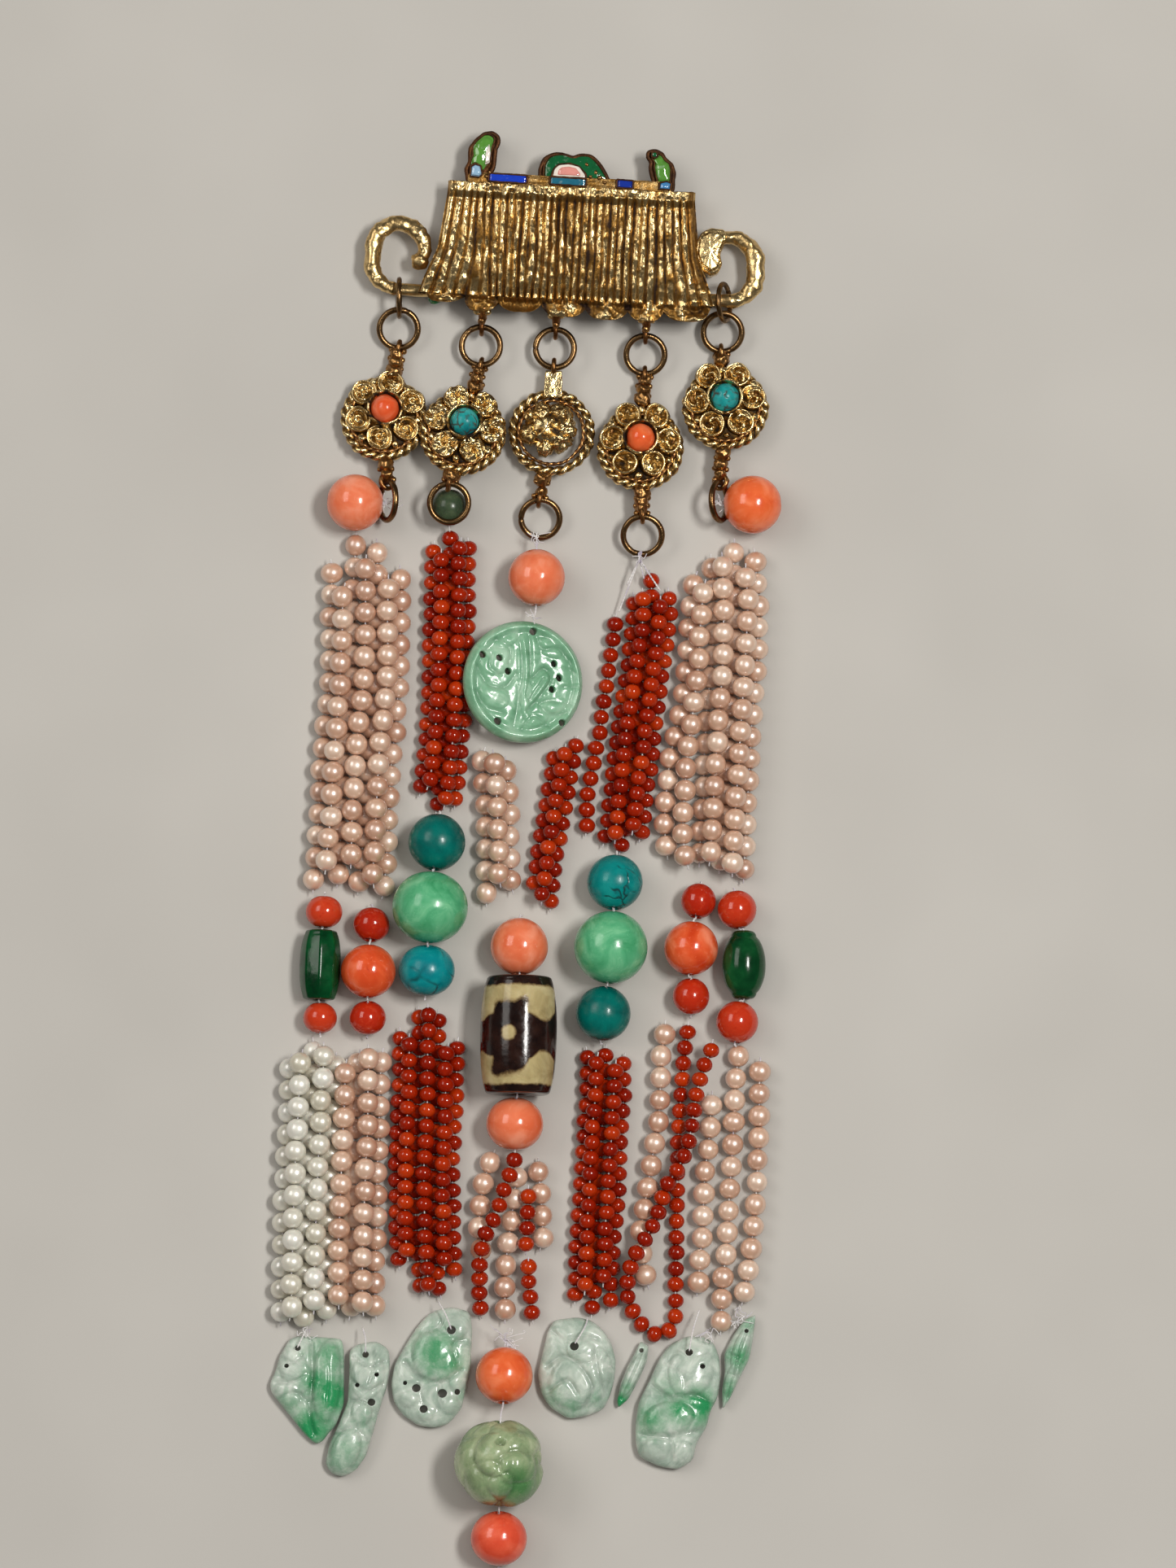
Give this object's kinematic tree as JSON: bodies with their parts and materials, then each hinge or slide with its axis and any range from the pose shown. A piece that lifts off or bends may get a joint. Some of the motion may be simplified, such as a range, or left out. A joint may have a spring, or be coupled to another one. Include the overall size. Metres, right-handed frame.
{
  "type": "chatelaine",
  "caption": "Dress ornament laid flat: gilt roof-shaped plate with corner scrolls, rosettes on rings, and long tassels of pearls, coral, turquoise and jade that end in carved pendants.",
  "frame": {"origin": "middle of the bounding box's base, on the surface the piece lies on", "axes": "+X to the right along the roof's ridge, +Y from the tassel ends up to the ridge, +Z away from the surface"},
  "size_m": [0.066, 0.1938, 0.0123],
  "materials": {
    "gilt": "worn gilding over silver",
    "enamel": "glossy",
    "pin_metal": "satin",
    "coral_pink": "polished",
    "coral_red": "polished",
    "turquoise": "polished",
    "green_jade": "polished",
    "pale_jade": "polished",
    "grey_jade": "polished",
    "dark_green_stone": "polished",
    "patterned_stone": "polished",
    "peach_pearl": "pearly",
    "white_pearl": "pearly",
    "thread": "matt"
  },
  "bodies": {
    "root": {"roof_plate": "gilt", "ridge_enamel": "enamel", "back_pin": "pin_metal", "upper_rings": "gilt", "rosette_1": "gilt", "rosette_2": "gilt", "rosette_3": "gilt", "rosette_4": "gilt", "rosette_5": "gilt", "cabochon_1": "coral_pink", "cabochon_2": "turquoise", "cabochon_4": "coral_pink", "cabochon_5": "turquoise", "lower_rings": "gilt", "coral_left": "coral_pink", "coral_right": "coral_pink", "green_bead": "dark_green_stone", "coral_middle": "coral_pink", "jade_disc": "pale_jade", "turquoise_b_upper": "turquoise", "jade_b": "green_jade", "turquoise_b_lower": "turquoise", "turquoise_d_upper": "turquoise", "jade_d": "green_jade", "turquoise_d_lower": "turquoise", "barrel_a": "dark_green_stone", "coral_a": "coral_pink", "coral_c_upper": "coral_pink", "pattern_barrel": "patterned_stone", "coral_c_lower": "coral_pink", "coral_e": "coral_pink", "barrel_e": "dark_green_stone", "coral_end_upper": "coral_pink", "carved_ball": "grey_jade", "coral_end_lower": "coral_pink", "small_corals": "coral_red", "pendant_a_leaf": "pale_jade", "pendant_a_gourd": "pale_jade", "pendant_b_fruit": "pale_jade", "pendant_d_shell": "pale_jade", "pendant_e_blade": "pale_jade", "pendant_e_gourd": "pale_jade", "pendant_e_twig": "pale_jade", "pearls_a_upper": "peach_pearl", "corals_b_upper": "coral_red", "pearls_c_upper": "peach_pearl", "corals_c_upper": "coral_red", "corals_d_upper": "coral_red", "pearls_e_upper": "peach_pearl", "pearls_a_lower_left": "white_pearl", "pearls_a_lower_right": "peach_pearl", "corals_b_lower": "coral_red", "mixed_c_lower": "coral_red", "corals_d_lower": "coral_red", "corals_e_lower": "coral_red", "pearls_e_lower": "peach_pearl", "threads_upper": "thread", "threads_middle": "thread", "threads_lower": "thread"}
  },
  "joints": []
}
